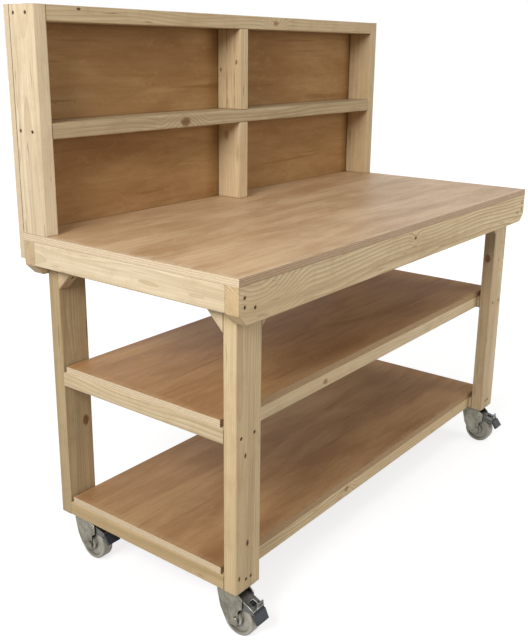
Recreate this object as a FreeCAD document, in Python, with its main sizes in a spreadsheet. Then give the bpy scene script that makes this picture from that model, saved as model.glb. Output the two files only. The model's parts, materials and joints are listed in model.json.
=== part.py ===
"""Timber workbench on braked swivel castors, as a parametric FreeCAD document (millimetres).

X runs along the bench from left to right, Y from the front to the back, Z up from the floor.
Places are worked out from the frame's front left corner, and the document's origin is on the
floor under the middle of the whole bench, from the pedals' tips to the back of its sheet.
"""
import FreeCAD, Part
import math
import os
import Sketcher

Vector = FreeCAD.Vector
Rotation = FreeCAD.Rotation
Placement = FreeCAD.Placement

# Driving dimensions

SIZES = {
    "bench_length": 1530,
    "bench_depth": 698,
    "leg_length": 764,
    "castor_height": 130,
    "timber_thick": 38,
    "timber_wide": 89,
    "timber_round": 3,
    "board_thick": 18,
    "end_rail_tall": 63,
    "apron_clip": 26,
    "middle_shelf_lift": 377,
    "shelf_setback": 11,
    "shelf_board_inset": 2,
    "back_tall": 543,
    "back_sheet_lap": 67,
    "gusset_round": 4,
    "screw_thick": 4.5,
    "screw_head_wide": 8,
    "screw_head_tall": 3,
    "screw_sink": 1,
    "screw_long": 80,
    "screw_middle": 62,
    "screw_room": 0.2,
    "overrun": 12,
    "castor_setback": 52,
    "plate_wide": 76,
    "plate_long": 100,
    "plate_thick": 3,
    "plate_round": 8,
    "plate_screw_wide": 52,
    "plate_screw_long": 76,
    "coach_screw_thick": 6,
    "coach_screw_long": 24,
    "coach_head_wide": 12,
    "coach_head_tall": 4.5,
    "race_gap": 7,
    "ball_ring": 38,
    "ball_room": 0.3,
    "king_pin_thick": 12,
    "king_pin_collar": 20,
    "king_pin_head_tall": 4,
    "pin_room": 0.06,
    "fork_wide": 48,
    "fork_thick": 3,
    "fork_back": 24,
    "fork_ear": 52,
    "fork_ear_tall": 38,
    "fork_front": 5,
    "cheek_drop": 18,
    "fork_boss": 11,
    "wheel_across": 92,
    "wheel_wide": 34,
    "wheel_trail": 34,
    "wheel_web": 20,
    "wheel_rim": 9,
    "wheel_round": 5,
    "hub_across": 30,
    "hub_room": 1,
    "axle_thick": 12,
    "axle_bolt": 8,
    "axle_head_wide": 15,
    "axle_head_tall": 5,
    "pedal_wide": 40,
    "pedal_thick": 2,
    "pedal_pin": 6,
    "pedal_pin_ahead": 41,
    "pedal_pin_up": 99,
    "pedal_heel": 33,
    "pedal_reach": 86,
    "pedal_heel_up": 109,
    "pedal_toe_up": 88,
    "pedal_skirt_up": 78,
    "pedal_toe_back": 3,
    "shoe_thick": 8,
    "shoe_wide": 24,
    "shoe_room": 0.8,
    "window_wide": 16,
    "window_long": 15,
    "window_back": 10,
    "lug_tall": 10,
    "lug_wide": 24,
    "lug_thick": 2.5,
    "tip_top": 5,
    "tip_drop": 34,
    "tip_reach": 15,
    "tip_thick": 8,
}

DIAGONAL_SHARE = math.sqrt(0.5)
BALLS_PER_RACE = 12

# The photographed bench has its front left brake pressed and the others released
PRESSED = ("front_left",)
PEDAL_LIFT = math.radians(10)


class Size:
    """A length that knows both its value and the spreadsheet expression that it comes from."""

    def __init__(self, value, text):
        self.value = value
        self.text = text

    def __add__(self, other):
        other = as_size(other)
        return Size(self.value + other.value, f"({self.text} + {other.text})")

    def __sub__(self, other):
        other = as_size(other)
        return Size(self.value - other.value, f"({self.text} - {other.text})")

    def __mul__(self, factor):
        return Size(self.value * factor, f"({self.text} * {factor!r})")

    def __truediv__(self, factor):
        return Size(self.value / factor, f"({self.text} / {factor!r})")

    def __neg__(self):
        return Size(-self.value, f"(0 - {self.text})")

    __radd__ = __add__
    __rmul__ = __mul__

    def __rsub__(self, other):
        return as_size(other) - self


def as_size(number):
    """A plain number, such as zero, in the form of a Size."""
    if isinstance(number, Size):
        return number
    return Size(float(number), repr(float(number)))


doc = FreeCAD.newDocument("workbench")
sheet = doc.addObject("Spreadsheet::Sheet", "dims")
for row, (alias, number) in enumerate(SIZES.items(), start=1):
    sheet.set(f"A{row}", alias)
    sheet.set(f"B{row}", str(number))
    sheet.setAlias(f"B{row}", alias)
doc.recompute()

D = {alias: Size(float(number), f"dims.{alias}") for alias, number in SIZES.items()}
pieces = {}

leg_inset = D["timber_thick"]
front_castor = leg_inset + D["castor_setback"]
tip_low = D["pedal_toe_up"] - D["tip_drop"] + D["tip_thick"] / 2
tip_ahead = D["pedal_reach"] + D["tip_reach"] - D["pedal_pin_ahead"]
tip_below = D["pedal_pin_up"] - tip_low
released_reach = tip_ahead * math.cos(PEDAL_LIFT) + tip_below * math.sin(PEDAL_LIFT)
pedal_front = front_castor - D["pedal_pin_ahead"] - released_reach
bench_back = D["bench_depth"] + D["board_thick"]
bench_middle = (D["bench_length"] / 2, (pedal_front + bench_back) / 2, 0)


# Helpers that bind the document's objects to the spreadsheet

def bind(item, prop, size):
    """Set a property of an object and tie it to the spreadsheet."""
    size = as_size(size)
    item.setExpression(prop, size.text)


def place(item, at, rotation=None):
    """Put an object at a point given as three sizes from the frame's front left corner."""
    if rotation is not None:
        item.Placement = Placement(Vector(), rotation)
    for axis, size, middle in zip("xyz", at, bench_middle):
        bind(item, f"Placement.Base.{axis}", as_size(size) - middle)


def new_body(label):
    body = doc.addObject("PartDesign::Body", label)
    body.Label = label
    return body


def sketch_on(body, role, offset=None):
    """A sketch on one of the body's own origin planes, moved along its normal by an offset."""
    sketch = body.newObject("Sketcher::SketchObject", f"{body.Name}_sketch")
    plane = next(item for item in body.Origin.OriginFeatures if item.Role == role)
    sketch.AttachmentSupport = [(plane, "")]
    sketch.MapMode = "FlatFace"
    if offset is not None:
        bind(sketch, "AttachmentOffset.Base.z", offset)
    return sketch


def pin_point(sketch, geometry, end, point):
    """Hold a sketch point at its two sizes from the sketch's origin."""
    for kind, axis, size in zip(("DistanceX", "DistanceY"), (-2, -1), point):
        if isinstance(size, Size):
            rule = Sketcher.Constraint(kind, -1, 1, geometry, end, size.value)
            index = sketch.addConstraint(rule)
            sketch.setExpression(f"Constraints[{index}]", size.text)
        else:
            sketch.addConstraint(Sketcher.Constraint("PointOnObject", geometry, end, axis))


def polygon(sketch, points):
    """A closed outline through points, each a pair of sizes or zeros."""
    corners = [Vector(as_size(x).value, as_size(y).value, 0) for x, y in points]
    count = len(points)
    for index in range(count):
        line = Part.LineSegment(corners[index], corners[(index + 1) % count])
        sketch.addGeometry(line, False)
    for index in range(count):
        rule = Sketcher.Constraint("Coincident", index, 2, (index + 1) % count, 1)
        sketch.addConstraint(rule)
    for index, point in enumerate(points):
        pin_point(sketch, index, 1, point)
    return sketch


def circle(sketch, centre, across):
    """A circle of a bound diameter at a bound centre."""
    x, y = (as_size(size).value for size in centre)
    ring = Part.Circle(Vector(x, y, 0), Vector(0, 0, 1), across.value / 2)
    index = sketch.addGeometry(ring, False)
    pin_point(sketch, index, 3, centre)
    rule = sketch.addConstraint(Sketcher.Constraint("Diameter", index, across.value))
    sketch.setExpression(f"Constraints[{rule}]", across.text)
    return sketch


def rectangle(sketch, low, high):
    return polygon(sketch, [low, (high[0], low[1]), high, (low[0], high[1])])


def pad(body, sketch, length, backward=False):
    feature = body.newObject("PartDesign::Pad", f"{body.Name}_pad")
    feature.Profile = sketch
    bind(feature, "Length", length)
    feature.Reversed = backward
    sketch.Visibility = False
    doc.recompute()
    return feature


def pocket(body, sketch, length):
    """Cut a sketch's outline out of the body, along the sketch's own normal."""
    before = body.Shape.Volume
    feature = body.newObject("PartDesign::Pocket", f"{body.Name}_pocket")
    feature.Profile = sketch
    feature.Reversed = True
    bind(feature, "Length", length)
    sketch.Visibility = False
    doc.recompute()
    if body.Shape.Volume >= before:
        raise RuntimeError(f"{body.Label}: a pocket cut nothing")
    return feature


def revolve(body, sketch):
    """Turn a sketch about its own horizontal axis."""
    feature = body.newObject("PartDesign::Revolution", f"{body.Name}_turned")
    feature.Profile = sketch
    feature.ReferenceAxis = (sketch, ["H_Axis"])
    feature.Angle = 360
    sketch.Visibility = False
    doc.recompute()
    return feature


def round_edges(body, chosen, radius):
    """Round those edges of the body that a test picks."""
    base = body.Tip
    names = [f"Edge{index}" for index, edge in enumerate(base.Shape.Edges, start=1) if chosen(edge)]
    feature = body.newObject("PartDesign::Fillet", f"{body.Name}_round")
    feature.Base = (base, names)
    bind(feature, "Radius", radius)
    doc.recompute()
    return feature


def runs_along(axis):
    """A test for straight edges that lie along an axis."""
    def test(edge):
        return edge.Curve.TypeId == "Part::GeomLine" and abs(edge.Curve.Direction.dot(axis)) > 0.999
    return test


def runs_diagonally(edge):
    """A test for the straight edges that lie along none of the axes."""
    if edge.Curve.TypeId != "Part::GeomLine":
        return False
    return max(abs(share) for share in edge.Curve.Direction) < 0.9


# Overall places that several pieces share

leg_bottom = D["castor_height"]
frame_top = leg_bottom + D["leg_length"]
worktop_top = frame_top + D["board_thick"]
back_top = worktop_top + D["back_tall"]
back_front = D["bench_depth"] - D["timber_wide"]
leg_inner = leg_inset + D["timber_wide"]
leg_rear = leg_inset + D["timber_thick"]
gusset_leg = D["timber_wide"] * math.sqrt(2)
middle_rail_bottom = (worktop_top + back_top - D["timber_thick"] * 2) / 2

AXES = {"X": Vector(1, 0, 0), "Y": Vector(0, 1, 0), "Z": Vector(0, 0, 1)}
PROFILE_PLANES = {"X": "YZ_Plane", "Y": "XZ_Plane", "Z": "XY_Plane"}


# Timber

def stick(label, along, spans, at):
    """A length of planed timber with eased long edges, lying along one axis."""
    body = new_body(label)
    across = [span for axis, span in zip("XYZ", spans) if axis != along]
    sketch = sketch_on(body, PROFILE_PLANES[along])
    rectangle(sketch, (0, 0), (across[0], across[1]))
    pad(body, sketch, spans["XYZ".index(along)], backward=along == "Y")
    round_edges(body, runs_along(AXES[along]), D["timber_round"])
    place(body, at)
    pieces[label] = body
    return body


def board(label, spans, at):
    """A sheet of plywood with square edges."""
    box = doc.addObject("Part::Box", label)
    box.Label = label
    for prop, span in zip(("Length", "Width", "Height"), spans):
        bind(box, prop, span)
    place(box, at)
    pieces[label] = box
    return box


def apron(label, front):
    """A full-length apron whose lower corners are clipped at 45 degrees."""
    body = new_body(label)
    clip = D["apron_clip"]
    length = D["bench_length"]
    sketch = sketch_on(body, "XZ_Plane")
    polygon(sketch, [(clip, 0), (length - clip, 0), (length, clip), (length, D["timber_wide"]),
                     (0, D["timber_wide"]), (0, clip)])
    pad(body, sketch, D["timber_thick"], backward=True)
    round_edges(body, runs_along(AXES["X"]), D["timber_round"])
    place(body, (0, front, frame_top - D["timber_wide"]))
    pieces[label] = body


def gusset(label, plane, side, at):
    """A right-angled corner block, sawn from timber, whose long side is the timber's own edge."""
    body = new_body(label)
    sketch = sketch_on(body, plane)
    reach = gusset_leg if side > 0 else -gusset_leg
    polygon(sketch, [(0, 0), (reach, 0), (0, -gusset_leg)])
    pad(body, sketch, D["timber_thick"], backward=plane == "XZ_Plane")
    round_edges(body, runs_diagonally, D["gusset_round"])
    place(body, at)
    pieces[label] = body


board("worktop", (D["bench_length"], D["bench_depth"], D["board_thick"]), (0, 0, frame_top))
apron("front_apron", 0)
apron("rear_apron", D["bench_depth"] - D["timber_thick"])

SIDES = {"left": 1, "right": -1}
ENDS = {"front": 1, "rear": -1}


def from_side(side, distance, span=0):
    """X of a piece that starts a distance in from the left end, or the mirror of it."""
    if side == "left":
        return as_size(distance)
    return D["bench_length"] - distance - span


def from_end(end, distance, span=0):
    """Y of a piece that starts a distance in from the front, or the mirror of it."""
    if end == "front":
        return as_size(distance)
    return D["bench_depth"] - distance - span


for side in SIDES:
    rail_span = D["bench_depth"] - D["timber_thick"] * 2
    stick(f"{side}_end_rail", "Y", (D["timber_thick"], rail_span, D["end_rail_tall"]),
          (from_side(side, 0, D["timber_thick"]), D["timber_thick"], frame_top - D["end_rail_tall"]))
    for end in ENDS:
        stick(f"{end}_{side}_leg", "Z", (D["timber_wide"], D["timber_thick"], D["leg_length"]),
              (from_side(side, leg_inset, D["timber_wide"]), from_end(end, leg_inset, D["timber_thick"]),
               leg_bottom))
        gusset(f"{end}_{side}_side_gusset", "YZ_Plane", ENDS[end],
               (from_side(side, leg_inset, D["timber_thick"]), from_end(end, leg_rear), frame_top))
    gusset(f"front_{side}_apron_gusset", "XZ_Plane", SIDES[side],
           (from_side(side, leg_inner), leg_inset, frame_top))

# Shelves

SHELF_LIFTS = {"lower": as_size(0), "middle": D["middle_shelf_lift"]}
for shelf, lift in SHELF_LIFTS.items():
    rail_bottom = leg_bottom + lift
    rail_top = rail_bottom + D["timber_thick"]
    long_span = D["bench_length"] - leg_inner * 2
    deep_span = D["bench_depth"] - leg_rear * 2
    front_edge = leg_rear + D["shelf_setback"]
    board_end = leg_inset + D["shelf_board_inset"]
    for side in SIDES:
        stick(f"{shelf}_shelf_{side}_rail", "Y", (D["timber_wide"], deep_span, D["timber_thick"]),
              (from_side(side, leg_inset, D["timber_wide"]), leg_rear, rail_bottom))
    for end in ENDS:
        stick(f"{shelf}_shelf_{end}_rail", "X", (long_span, D["timber_wide"], D["timber_thick"]),
              (leg_inner, from_end(end, front_edge, D["timber_wide"]), rail_bottom))
    board(f"{shelf}_shelf_board",
          (D["bench_length"] - board_end * 2, D["bench_depth"] - front_edge * 2, D["board_thick"]),
          (board_end, front_edge, rail_top))

# Back panel

for side in SIDES:
    stick(f"back_{side}_post", "Z", (D["timber_thick"], D["timber_wide"], D["back_tall"]),
          (from_side(side, 0, D["timber_thick"]), back_front, worktop_top))
back_span = D["bench_length"] - D["timber_thick"] * 2
stick("back_top_rail", "X", (back_span, D["timber_wide"], D["timber_thick"]),
      (D["timber_thick"], back_front, back_top - D["timber_thick"]))
stick("back_middle_rail", "X", (back_span, D["timber_wide"], D["timber_thick"]),
      (D["timber_thick"], back_front, middle_rail_bottom))
divider_tall = (D["back_tall"] - D["timber_thick"] * 2) / 2
divider_left = (D["bench_length"] - D["timber_thick"]) / 2
DIVIDER_BOTTOMS = {"lower": worktop_top, "upper": middle_rail_bottom + D["timber_thick"]}
for level, bottom in DIVIDER_BOTTOMS.items():
    stick(f"back_{level}_divider", "Z", (D["timber_thick"], D["timber_wide"], divider_tall),
          (divider_left, back_front, bottom))
board("back_sheet", (D["bench_length"], D["board_thick"], D["back_tall"] + D["back_sheet_lap"]),
      (0, D["bench_depth"], worktop_top - D["back_sheet_lap"]))

# Screws, with the holes that they leave in the timber

screw_solids = []
coach_solids = []
holes = []


def turned(kind, name, across, length, at, heading):
    """A cylinder or cone that starts at a point and runs along a heading."""
    item = doc.addObject(f"Part::{kind}", name)
    radii = ("Radius",) if kind == "Cylinder" else ("Radius1", "Radius2")
    for prop, width in zip(radii, across):
        bind(item, prop, width / 2)
    bind(item, "Height", length)
    place(item, at, Rotation(Vector(0, 0, 1), heading))
    return item


def step(at, heading, distance):
    """The point a distance further along a heading."""
    return [size + distance * share if share else as_size(size) for size, share in zip(at, heading)]


def drill(across, start, length, at, heading):
    """A hole with a little room round the screw that goes in it."""
    mouth = step(at, heading, start)
    holes.append(turned("Cylinder", "hole", [across + D["screw_room"] * 2], length, mouth, heading))


def wood_screw(at, heading, length):
    """A countersunk screw whose head lies a little below the timber's face."""
    seat = step(at, heading, D["screw_sink"])
    neck = D["screw_sink"] + D["screw_head_tall"]
    head = turned("Cone", "screw_head", [D["screw_head_wide"], D["screw_thick"]], D["screw_head_tall"],
                  seat, heading)
    shank = turned("Cylinder", "screw_shank", [D["screw_thick"]], length - neck,
                   step(at, heading, neck), heading)
    screw_solids.extend((head, shank))
    drill(D["screw_head_wide"], -D["overrun"], D["overrun"] + neck + D["screw_room"], at, heading)
    drill(D["screw_thick"], neck, length - neck + D["screw_room"], at, heading)


def coach_screw(at):
    """A screw that holds a castor plate, driven up from below it."""
    up = AXES["Z"]
    head = turned("Cylinder", "coach_head", [D["coach_head_wide"]], D["coach_head_tall"],
                  step(at, up, -D["coach_head_tall"]), up)
    shank = turned("Cylinder", "coach_shank", [D["coach_screw_thick"]], D["coach_screw_long"], at, up)
    coach_solids.extend((head, shank))
    drill(D["coach_screw_thick"], as_size(0), D["coach_screw_long"] + D["screw_room"], at, up)


END_RAIL_SCREW_SHARES = (0.42, 0.74)
LEG_SCREW_DROP_SHARE = 0.86
LEG_SCREW_ACROSS_SHARE = 0.18
SHELF_SCREW_SHARES = {"lower": (0.42, 0.62), "middle": (0.2, 0.73)}
SHELF_SCREW_UP_SHARES = {"lower": 0.72, "middle": 0.5}
POST_SCREW_SHARES = (0.32, 0.82)
GUSSET_SCREW_SHARES = (0.27, 0.73)

for side in SIDES:
    for end in ENDS:
        inward = AXES["Y"] * ENDS[end]
        face = from_end(end, 0)
        for share in END_RAIL_SCREW_SHARES:
            up = frame_top - D["end_rail_tall"] * share
            wood_screw((from_side(side, D["timber_thick"] / 2), face, up), inward, D["screw_long"])
        across = from_side(side, leg_inset + D["timber_wide"] * LEG_SCREW_ACROSS_SHARE)
        up = frame_top - D["end_rail_tall"] * LEG_SCREW_DROP_SHARE
        wood_screw((across, face, up), inward, D["screw_middle"])
        for shelf, lift in SHELF_LIFTS.items():
            up = leg_bottom + lift + D["timber_thick"] * SHELF_SCREW_UP_SHARES[shelf]
            for share in SHELF_SCREW_SHARES[shelf]:
                across = from_side(side, leg_inset + D["timber_wide"] * share)
                wood_screw((across, from_end(end, leg_inset), up), inward, D["screw_long"])
    for bottom in (middle_rail_bottom, back_top - D["timber_thick"]):
        for share in POST_SCREW_SHARES:
            at = (from_side(side, 0), back_front + D["timber_wide"] * share, bottom + D["timber_thick"] / 2)
            wood_screw(at, AXES["X"] * SIDES[side], D["screw_long"])

for share in GUSSET_SCREW_SHARES:
    out = gusset_leg * share
    up = frame_top - gusset_leg * (1 - share)
    for side in SIDES:
        across = from_side(side, leg_inset + D["timber_thick"] / 2)
        for end in ENDS:
            heading = Vector(0, -ENDS[end] * DIAGONAL_SHARE, DIAGONAL_SHARE)
            wood_screw((across, from_end(end, leg_rear + out), up), heading, D["screw_middle"])
        heading = Vector(-SIDES[side] * DIAGONAL_SHARE, 0, DIAGONAL_SHARE)
        wood_screw((from_side(side, leg_inner + out), leg_inset + D["timber_thick"] / 2, up), heading,
                   D["screw_middle"])

# Castors

CASTORS = [(f"{end}_{side}", from_side(side, leg_inset + D["timber_wide"] / 2),
            from_end(end, front_castor)) for end in ENDS for side in SIDES]

plate_bottom = leg_bottom - D["plate_thick"]
crown_top = plate_bottom - D["race_gap"]
crown_bottom = crown_top - D["fork_thick"]
axle_up = D["wheel_across"] / 2
fork_inside = D["fork_wide"] - D["fork_thick"] * 2


def castor_plate(name, x, y):
    """The top plate with its four screw holes and the king pin's hole."""
    body = new_body(f"{name}_castor_plate")
    sketch = sketch_on(body, "XY_Plane")
    half_wide = D["plate_wide"] / 2
    half_long = D["plate_long"] / 2
    rectangle(sketch, (-half_wide, -half_long), (half_wide, half_long))
    pad(body, sketch, D["plate_thick"])
    round_edges(body, runs_along(AXES["Z"]), D["plate_round"])
    drilled = sketch_on(body, "XY_Plane")
    circle(drilled, (0, 0), D["king_pin_thick"] + D["screw_room"] * 2)
    for across in (-1, 1):
        for along in (-1, 1):
            centre = (D["plate_screw_wide"] / 2 * across, D["plate_screw_long"] / 2 * along)
            circle(drilled, centre, D["coach_screw_thick"] + D["screw_room"] * 2)
            coach_screw((x + centre[0], y + centre[1], plate_bottom))
    pocket(body, drilled, D["plate_thick"])
    place(body, (x, y, plate_bottom))
    pieces[body.Label] = body


def king_pin(name, x, y):
    """The rivet that the fork turns on, hung from the plate by its collar."""
    body = doc.addObject("PartDesign::Body", f"{name}_king_pin")
    shank = D["king_pin_thick"] / 2
    wide = D["king_pin_collar"] / 2
    collar = D["race_gap"] / 2
    crown = D["race_gap"] + D["fork_thick"] + D["ball_room"]
    sketch = sketch_on(body, "XY_Plane")
    polygon(sketch, [(-D["plate_thick"], 0), (crown + D["king_pin_head_tall"], 0),
                     (crown + D["king_pin_head_tall"], wide), (crown, wide), (crown, shank),
                     (collar, shank), (collar, wide), (0, wide), (0, shank), (-D["plate_thick"], shank)])
    revolve(body, sketch)
    place(body, (x, y, plate_bottom), Rotation(Vector(1, 0, 0), Vector(0, 0, -1)))
    return body


def swivel_balls(x, y):
    """The ring of balls between the plate and the fork's crown."""
    balls = []
    for index in range(BALLS_PER_RACE):
        turn = 2 * math.pi * index / BALLS_PER_RACE
        ball = doc.addObject("Part::Sphere", "ball")
        bind(ball, "Radius", D["race_gap"] / 2 - D["ball_room"])
        place(ball, (x + D["ball_ring"] / 2 * math.cos(turn), y + D["ball_ring"] / 2 * math.sin(turn),
                     plate_bottom - D["race_gap"] / 2))
        balls.append(ball)
    return balls


CHEEK_WAIST_SHARE = 0.6
CHEEK_HEEL_SHARE = 0.45


def fork(name, x, y):
    """The pressed fork: a crown and two cheeks that trail to the axle, with ears for the pedal."""
    body = new_body(f"{name}_castor_fork")
    boss = D["fork_boss"]
    axle = -D["wheel_trail"]
    ear_low = crown_top - D["fork_ear_tall"]
    front = axle - D["fork_front"]
    drop = D["cheek_drop"]
    outline = [(D["fork_back"], crown_top), (D["fork_back"], crown_bottom - boss),
               (D["fork_back"] * CHEEK_WAIST_SHARE, axle_up + drop), (0, axle_up - drop * CHEEK_HEEL_SHARE),
               (axle / 2, axle_up - drop), (axle, axle_up - drop), (front, axle_up - boss),
               (front, ear_low - boss), (-D["fork_ear"], ear_low), (-D["fork_ear"], crown_bottom - boss),
               (axle, crown_top)]
    pad(body, polygon(sketch_on(body, "YZ_Plane"), outline), D["fork_wide"])
    inside = sketch_on(body, "YZ_Plane", D["fork_thick"])
    rectangle(inside, (-D["fork_ear"] - D["overrun"], 0), (D["fork_back"] + D["overrun"], crown_bottom))
    pocket(body, inside, fork_inside)
    bores = sketch_on(body, "YZ_Plane")
    circle(bores, (axle, axle_up), D["axle_bolt"] + D["pin_room"] * 2)
    circle(bores, (-D["pedal_pin_ahead"], D["pedal_pin_up"]), D["pedal_pin"] + D["pin_room"] * 2)
    pocket(body, bores, D["fork_wide"])
    crown_bore = sketch_on(body, "XY_Plane")
    circle(crown_bore, (D["fork_wide"] / 2, 0), D["king_pin_thick"] + D["pin_room"] * 2)
    pocket(body, crown_bore, crown_top)
    place(body, (x - D["fork_wide"] / 2, y, 0))
    pieces[body.Label] = body


def axle(name, x, y):
    """The wheel's sleeve and through bolt, headed outside the cheeks."""
    body = new_body(f"{name}_axle")
    head = D["axle_head_wide"] / 2
    bolt = D["axle_bolt"] / 2
    sleeve = D["axle_thick"] / 2
    outer = D["axle_head_tall"] + D["fork_wide"]
    left = D["axle_head_tall"] + D["fork_thick"]
    right = left + fork_inside
    end = outer + D["axle_head_tall"]
    sketch = sketch_on(body, "XY_Plane")
    polygon(sketch, [(0, 0), (end, 0), (end, head), (outer, head), (outer, bolt), (right, bolt),
                     (right, sleeve), (left, sleeve), (left, bolt), (D["axle_head_tall"], bolt),
                     (D["axle_head_tall"], head), (0, head)])
    revolve(body, sketch)
    place(body, (x - end / 2, y - D["wheel_trail"], axle_up))
    pieces[body.Label] = body


def wheel(name, x, y):
    """A plain-bored nylon wheel with a rim, a web and a longer hub."""
    body = new_body(f"{name}_wheel")
    hub_long = fork_inside - D["hub_room"] * 2
    rim_in = (hub_long - D["wheel_wide"]) / 2
    web_in = (hub_long - D["wheel_web"]) / 2
    bore = D["axle_thick"] / 2 + D["pin_room"]
    hub = D["hub_across"] / 2
    tread = D["wheel_across"] / 2
    rim = tread - D["wheel_rim"]
    sketch = sketch_on(body, "XY_Plane")
    polygon(sketch, [(0, bore), (hub_long, bore), (hub_long, hub), (hub_long - web_in, hub),
                     (hub_long - web_in, rim), (hub_long - rim_in, rim), (hub_long - rim_in, tread),
                     (rim_in, tread), (rim_in, rim), (web_in, rim), (web_in, hub), (0, hub)])
    revolve(body, sketch)

    def is_tread_edge(edge):
        curve = edge.Curve
        return curve.TypeId == "Part::GeomCircle" and abs(curve.Radius - tread.value) < D["pin_room"].value

    round_edges(body, is_tread_edge, D["wheel_round"])
    place(body, (x - hub_long / 2, y - D["wheel_trail"], axle_up))
    pieces[body.Label] = body


def place_pedal(body, name, x, y):
    """Puts a piece of the pedal in its castor, turned up about the pivot pin where the brake is released."""
    lift = 0 if name in PRESSED else -PEDAL_LIFT
    ahead = D["pedal_pin_ahead"]
    up = D["pedal_pin_up"]
    forward = y - ahead * (1 - math.cos(lift)) + up * math.sin(lift)
    raised = up * (1 - math.cos(lift)) + ahead * math.sin(lift)
    turn = Rotation(AXES["X"], math.degrees(lift))
    place(body, (x - D["pedal_wide"] / 2, forward, raised), turn)


pedal_fall = (D["pedal_heel_up"] - D["pedal_toe_up"]).value / (D["pedal_reach"] - D["pedal_heel"]).value


def pedal_top(ahead):
    """Height of the pedal's sloping top at a distance ahead of the king pin."""
    return D["pedal_heel_up"] - (ahead - D["pedal_heel"]) * pedal_fall


def pedal(name, x, y):
    """The brake pedal: a pressed channel with a shoe, a pivot pin, a window and a release lug."""
    body = new_body(f"{name}_brake_pedal")
    heel = -D["pedal_heel"]
    toe = -D["pedal_reach"]
    skirt_toe = toe + D["pedal_toe_back"]
    skirt_front = -D["fork_ear"]
    heel_low = D["pedal_pin_up"] - D["pedal_pin"]
    outline = [(heel, D["pedal_heel_up"]), (toe, D["pedal_toe_up"]), (skirt_toe, D["pedal_skirt_up"]),
               (skirt_front, D["pedal_skirt_up"]), (heel, heel_low)]
    pad(body, polygon(sketch_on(body, "YZ_Plane"), outline), D["pedal_wide"])
    under = D["pedal_thick"]
    inside = sketch_on(body, "YZ_Plane", D["pedal_thick"])
    back = heel + D["overrun"]
    front = toe + D["pedal_thick"]
    polygon(inside, [(back, pedal_top(-back) - under), (front, pedal_top(-front) - under),
                     (front, D["pedal_skirt_up"] - D["overrun"]), (back, D["pedal_skirt_up"] - D["overrun"])])
    pocket(body, inside, D["pedal_wide"] - D["pedal_thick"] * 2)
    window = sketch_on(body, "XY_Plane")
    left = (D["pedal_wide"] - D["window_wide"]) / 2
    far = toe + D["window_back"]
    rectangle(window, (left, far), (left + D["window_wide"], far + D["window_long"]))
    pocket(body, window, D["pedal_heel_up"])
    pin = sketch_on(body, "YZ_Plane", -(D["fork_wide"] - D["pedal_wide"]) / 2)
    circle(pin, (-D["pedal_pin_ahead"], D["pedal_pin_up"]), D["pedal_pin"])
    pad(body, pin, D["fork_wide"])
    shoe = sketch_on(body, "YZ_Plane", (D["pedal_wide"] - D["shoe_wide"]) / 2)
    shoe_back = -D["fork_ear"]
    shoe_front = shoe_back - D["shoe_thick"]
    run = (D["fork_ear"] - D["wheel_trail"]).value
    touch = math.sqrt((D["wheel_across"].value / 2 + D["shoe_room"].value) ** 2 - run ** 2)
    shoe_low = axle_up * (touch / axle_up.value) + axle_up
    polygon(shoe, [(shoe_back, shoe_low), (shoe_back, pedal_top(-shoe_back) - under / 2),
                   (shoe_front, pedal_top(-shoe_front) - under / 2), (shoe_front, shoe_low)])
    pad(body, shoe, D["shoe_wide"])
    lug = sketch_on(body, "YZ_Plane", D["pedal_wide"] - D["lug_wide"])
    lug_front = toe + D["pedal_thick"]
    lug_back = lug_front + D["lug_thick"]
    back_top_up = pedal_top(-lug_back)
    front_top_up = pedal_top(-lug_front)
    polygon(lug, [(lug_front, front_top_up - under / 2), (lug_back, back_top_up - under / 2),
                  (lug_back, back_top_up + D["lug_tall"]), (lug_front, front_top_up + D["lug_tall"])])
    pad(body, lug, D["lug_wide"])
    place_pedal(body, name, x, y)
    pieces[body.Label] = body


def pedal_tip(name, x, y):
    """The black plastic toe cap on the pedal's front."""
    body = new_body(f"{name}_pedal_tip")
    toe = -D["pedal_reach"]
    skirt_toe = toe + D["pedal_toe_back"]
    low = D["pedal_toe_up"] - D["tip_drop"]
    half = D["tip_thick"] / 2
    top = D["pedal_toe_up"] - D["tip_top"]
    toe_share = D["tip_top"].value / (D["pedal_toe_up"] - D["pedal_skirt_up"]).value
    top_back = toe + D["pedal_toe_back"] * toe_share
    outline = [(top_back, top), (toe - half, top - half / 2), (toe - D["tip_reach"], low + half),
               (toe - D["tip_reach"] + D["tip_thick"], low), (skirt_toe, D["pedal_skirt_up"])]
    pad(body, polygon(sketch_on(body, "YZ_Plane"), outline), D["pedal_wide"])
    place_pedal(body, name, x, y)
    pieces[body.Label] = body


all_pins = []
all_balls = []
for name, x, y in CASTORS:
    castor_plate(name, x, y)
    all_pins.append(king_pin(name, x, y))
    all_balls.extend(swivel_balls(x, y))
    fork(name, x, y)
    axle(name, x, y)
    wheel(name, x, y)
    pedal(name, x, y)
    pedal_tip(name, x, y)


# Groups of like pieces, and the drilled timber

def group(label, kind, items):
    """Like pieces kept as separate solids of one node."""
    item = doc.addObject(kind, label)
    item.Label = label
    if kind == "Part::Compound":
        item.Links = items
    else:
        item.Shapes = items
    pieces[label] = item


group("king_pins", "Part::Compound", all_pins)
group("swivel_balls", "Part::Compound", all_balls)
group("timber_screws", "Part::MultiFuse", screw_solids)
group("castor_screws", "Part::MultiFuse", coach_solids)

drill_holes = doc.addObject("Part::Compound", "drill_holes")
drill_holes.Links = holes
doc.recompute()


def is_drilled(piece):
    """Whether any screw's hole meets a piece."""
    box = piece.Shape.BoundBox
    near = [hole.Shape for hole in holes if box.intersect(hole.Shape.BoundBox)]
    return any(shape.common(piece.Shape).Volume > 0 for shape in near)


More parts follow.
